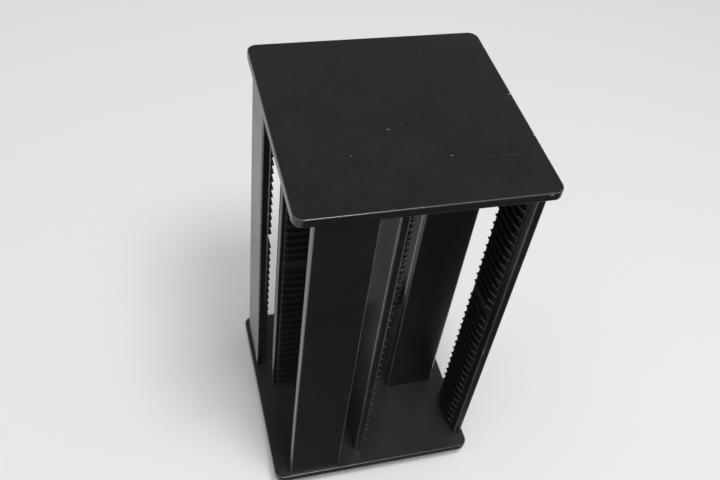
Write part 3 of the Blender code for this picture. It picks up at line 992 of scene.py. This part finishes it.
class CDTOWER_OT_foot(bpy.types.Operator):
    """Make the round foot with its rounded rim, and its rubber pads"""
    bl_idname = "cd_tower.foot"
    bl_label = "Foot and pads"

    def execute(self, context):
        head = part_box("pivot_bolt")[1].x + SEAT
        step = FOOT_LOW.z + PIVOT_HEAD_DEPTH + SEAT
        side = round_side(FOOT_HIGH.x, FOOT_LOW.z, FOOT_HIGH.z, FOOT_ROUND, FOOT_STEPS)
        profile = [(PIVOT_BORE, FOOT_HIGH.z), *side, (head, FOOT_LOW.z), (head, step),
                   (PIVOT_BORE, step)]
        foot = turned("foot", profile, "board_paint", closed=True)
        mesh = finished(foot, tools=[ring_screw_room("lower")])
        add_finished("foot_board", mesh, "foot", "black_paint")
        for number in (1, 2, 3, 4):
            low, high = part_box(f"foot_pad_{number}")
            centre = (low + high) / 2
            tall = high.z - low.z
            side = round_side((high.x - low.x) / 2, 0, tall, PAD_ROUND, PAD_STEPS)
            mesh = finished(turned("pad", [(0, tall), *side, (0, 0)], "pad_rubber"))
            place = Matrix.Translation((centre.x, centre.y, low.z))
            add_finished(f"foot_pad_{number}", placed(mesh, place), "foot", "rubber")
        return {"FINISHED"}


class CDTOWER_OT_pivot(bpy.types.Operator):
    """Make the pivot bolt, its washer and its nut"""
    bl_idname = "cd_tower.pivot"
    bl_label = "Pivot"

    def execute(self, context):
        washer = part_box("pivot_washer")
        bolt = self.bolt_mesh(*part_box("pivot_bolt"), thread_end=washer[0].z)
        add_finished("pivot_bolt", bolt, "foot", "zinc_steel")
        add_finished("pivot_washer", self.washer_mesh(*washer), "foot", "zinc_steel")
        add_finished("pivot_nut", self.nut_mesh(*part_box("pivot_nut")), "foot", "zinc_steel")
        return {"FINISHED"}

    def bolt_mesh(self, low, high, thread_end):
        """A bolt with a flat round head, threaded down to the washer."""
        valley = PIVOT_SHANK - THREAD_DEPTH
        thread = []
        height = high.z - THREAD_DEPTH
        while height > thread_end:
            thread += [(PIVOT_SHANK, height), (valley, height - THREAD_PITCH / 2)]
            height -= THREAD_PITCH
        head_top = low.z + PIVOT_HEAD_DEPTH
        profile = [(0, high.z), (valley, high.z), *thread, (PIVOT_SHANK, height),
                   (PIVOT_SHANK, head_top), *eased_side(high.x, head_top, low.z, PIVOT_EASE), (0, low.z)]
        return finished(turned("bolt", profile, "zinc"), TURNED)

    def washer_mesh(self, low, high):
        """A washer whose upper rim is sloped."""
        profile = [(high.x - PIVOT_EASE, high.z), (high.x, high.z - PIVOT_EASE), (high.x, low.z),
                   (PIVOT_BORE, low.z), (PIVOT_BORE, high.z)]
        return finished(turned("washer", profile, "zinc", closed=True), TURNED)

    def nut_mesh(self, low, high):
        """A hexagon with its corners turned off at both ends."""
        corner = high.x
        flat = corner * math.cos(math.pi / 6)
        bm = bmesh.new()
        prism(bm, circle(corner, 6), low.z, high.z)
        nut = solid("nut", bm, "zinc")
        drop = (corner - flat) * NUT_DROP
        face, clear = flat * NUT_FACE, corner * NUT_CLEAR
        profile = [(PIVOT_BORE, high.z), (face, high.z), (clear, high.z - drop), (clear, low.z + drop),
                   (face, low.z), (PIVOT_BORE, low.z)]
        turning = turned("turning", profile, "zinc", closed=True)
        return finished(nut, HEXAGON, [turning], operation="INTERSECT")


class CDTOWER_OT_turntable(bpy.types.Operator):
    """Make the turntable's grooved rings and the cage of balls between them"""
    bl_idname = "cd_tower.turntable"
    bl_label = "Turntable"

    def execute(self, context):
        sizes = context.scene.tower_sizes
        middle = (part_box("turntable_lower_ring")[1].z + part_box("turntable_upper_ring")[0].z) / 2
        for ring, body in (("lower", "foot"), ("upper", "tower")):
            node = f"turntable_{ring}_ring"
            blank = self.ring_object(sizes, *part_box(node), middle)
            add_finished(node, finished(blank, TURNED, [ring_screw_room(ring)]), body, "zinc_steel")
        cage = self.cage_object(sizes, middle)
        mesh = run_tree(ball_tree(), {
            "Cage": cage, "Balls": sizes.balls, "Race Radius": sizes.race_radius,
            "Ball Radius": sizes.ball_radius, "Height": middle, "Finish": finish_named("zinc")})
        discard([cage])
        mesh = finished(loose_object("cage", mesh), JOINED)
        add_finished("ball_cage", mesh, "foot", "zinc_steel")
        return {"FINISHED"}

    def ring_object(self, sizes, low, high, middle):
        """A flat ring with eased rims and a groove for the balls in the face towards the race."""
        side = 1 if low.z > middle else -1
        face, back = (low.z, high.z) if side > 0 else (high.z, low.z)
        reach = sizes.ball_radius + SEAT
        spread = math.degrees(math.acos(abs(face - middle) / reach))
        groove = arc((sizes.race_radius, middle), reach, side * (90 + spread), side * (90 - spread),
                     GROOVE_STEPS)
        profile = [(sizes.ring_bore, face), *groove, *eased_side(high.x, face, back, RING_EASE),
                   (sizes.ring_bore, back)]
        return turned("ring", profile, "zinc", closed=True)

    def cage_object(self, sizes, middle):
        """The flat ring that holds the balls."""
        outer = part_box("ball_cage")[1].x
        inner = 2 * sizes.race_radius - outer
        high, low = middle + sizes.cage_thickness / 2, middle - sizes.cage_thickness / 2
        return turned("cage", [(outer, high), (outer, low), (inner, low), (inner, high)], closed=True)


# Stage

class CDTOWER_OT_stage(bpy.types.Operator):
    """Set up the floor, the light and the camera"""
    bl_idname = "cd_tower.stage"
    bl_label = "Studio"

    def execute(self, context):
        scene = context.scene
        studio = scene.tower_studio
        self.floor(studio)
        self.sky(scene, studio)
        self.lamp(scene, studio)
        self.shade_card()
        self.camera(scene, studio)
        scene.view_settings.view_transform = "Standard"
        return {"FINISHED"}

    def floor(self, studio):
        """A pale floor that shines a little, to the camera and in reflections."""
        bm = bmesh.new()
        bmesh.ops.create_circle(bm, cap_ends=True, segments=FLOOR_STEPS, radius=FLOOR_RADIUS)
        floor = solid("floor", bm)
        finish = Finish("floor")
        finish.surface(base_color=studio.floor, roughness=0.85, specular_ior_level=0.1)
        seen, mirrored, through = [finish.node("ShaderNodeLightPath", output=f"Is {ray} Ray")
                                   for ray in ("Camera", "Glossy", "Transmission")]
        share = seen * studio.lift + mirrored.most(through) * studio.mirror_lift
        glow = finish.node("ShaderNodeEmission", {}, {"Color": studio.floor, "Strength": 1.0})
        lit = Value(finish, finish.shader.outputs["BSDF"])
        paled = finish.node("ShaderNodeMixShader", {}, {0: share, 1: lit, 2: glow})
        finish.feed(finish.tree.nodes["Material Output"].inputs["Surface"], paled)
        floor.data.materials.append(finish.material)

    def shade_card(self):
        """A black card on the floor in front, which only reflections see: painted shade in the
        reflections of faces that look to the front.
        """
        bm = bmesh.new()
        bmesh.ops.create_grid(bm, x_segments=1, y_segments=1, size=1)
        bmesh.ops.scale(bm, vec=CARD_HALF, verts=bm.verts)
        bmesh.ops.translate(bm, vec=CARD_PLACE, verts=bm.verts)
        shade_card = solid("black_card", bm)
        finish = Finish("black_card")
        # A dark sheet that puts painted shade into reflections
        finish.surface(base_color=REFLECTED_SHADE_COLOUR, roughness=0.9, specular_ior_level=0.0)
        shade_card.data.materials.append(finish.material)
        for ray in ("camera", "diffuse", "transmission", "shadow"):
            setattr(shade_card, f"visible_{ray}", False)

    def sky(self, scene, studio):
        """Pale walls all round, with a dark corner above at the back."""
        world = bpy.data.worlds.new("studio")
        world.use_nodes = True
        graph = Graph(world.node_tree)
        direction = graph.node("ShaderNodeTexCoord", output="Generated")
        facing = graph.vector("DOT_PRODUCT", direction, CORNER_DIRECTION, "Value")
        dark = facing.over(*CORNER_FADE)
        background = world.node_tree.nodes["Background"]
        graph.feed(background.inputs["Color"], (1, 1, 1))
        graph.feed(background.inputs["Strength"], studio.walls + dark * (studio.corner - studio.walls))
        scene.world = world

    def lamp(self, scene, studio):
        """A square soft lamp above at the front."""
        light = bpy.data.lights.new("softbox", "AREA")
        light.shape = "RECTANGLE"
        light.size = light.size_y = studio.lamp_side
        light.energy = studio.lamp
        lamp = bpy.data.objects.new("softbox", light)
        scene.collection.objects.link(lamp)
        lamp.location = studio.lamp_place
        aim = Vector(studio.lamp_aim) - Vector(studio.lamp_place)
        lamp.rotation_euler = aim.to_track_quat("-Z", "Y").to_euler()

    def camera(self, scene, studio):
        lens = bpy.data.cameras.new("camera")
        lens.sensor_width = SENSOR_WIDTH
        lens.lens = studio.lens
        camera = bpy.data.objects.new("camera", lens)
        scene.collection.objects.link(camera)
        place = Vector(studio.camera_place)
        ahead = (Vector(studio.camera_aim) - place).normalized()
        level = ahead.cross(Vector((0, 0, 1))).normalized()
        upright = level.cross(ahead)
        up = upright * math.cos(studio.camera_roll) + level * math.sin(studio.camera_roll)
        right = ahead.cross(up)
        turn = Matrix((right, up, -ahead)).transposed().to_4x4()
        camera.matrix_world = Matrix.Translation(place) @ turn
        scene.camera = camera


OPERATORS = (CDTOWER_OT_plates, CDTOWER_OT_boards, CDTOWER_OT_rails, CDTOWER_OT_screws, CDTOWER_OT_foot,
             CDTOWER_OT_pivot, CDTOWER_OT_turntable, CDTOWER_OT_stage)
GROUPS = {"tower_sizes": TowerSizes, "tower_colours": TowerColours, "tower_studio": Studio}


class CDTOWER_PT_panel(bpy.types.Panel):
    """Lists the tower's pieces, sizes and colours"""
    bl_idname = "CDTOWER_PT_panel"
    bl_label = "CD tower"
    bl_space_type = "VIEW_3D"
    bl_region_type = "UI"
    bl_category = "CD tower"

    def draw(self, context):
        for operator in OPERATORS:
            self.layout.operator(operator.bl_idname)
        for name, cls in GROUPS.items():
            box = self.layout.box()
            for setting in cls.__annotations__:
                box.prop(getattr(context.scene, name), setting)


CLASSES = (*GROUPS.values(), *OPERATORS, CDTOWER_PT_panel)


def register():
    for cls in CLASSES:
        bpy.utils.register_class(cls)
    for name, cls in GROUPS.items():
        setattr(bpy.types.Scene, name, PointerProperty(type=cls))


def unregister():
    for name in GROUPS:
        delattr(bpy.types.Scene, name)
    for cls in reversed(CLASSES):
        bpy.utils.unregister_class(cls)


def main():
    register()
    bpy.ops.cd_tower.plates()
    bpy.ops.cd_tower.boards()
    bpy.ops.cd_tower.rails()
    bpy.ops.cd_tower.screws()
    bpy.ops.cd_tower.foot()
    bpy.ops.cd_tower.pivot()
    bpy.ops.cd_tower.turntable()
    bpy.ops.cd_tower.stage()


if __name__ == "__main__":
    main()
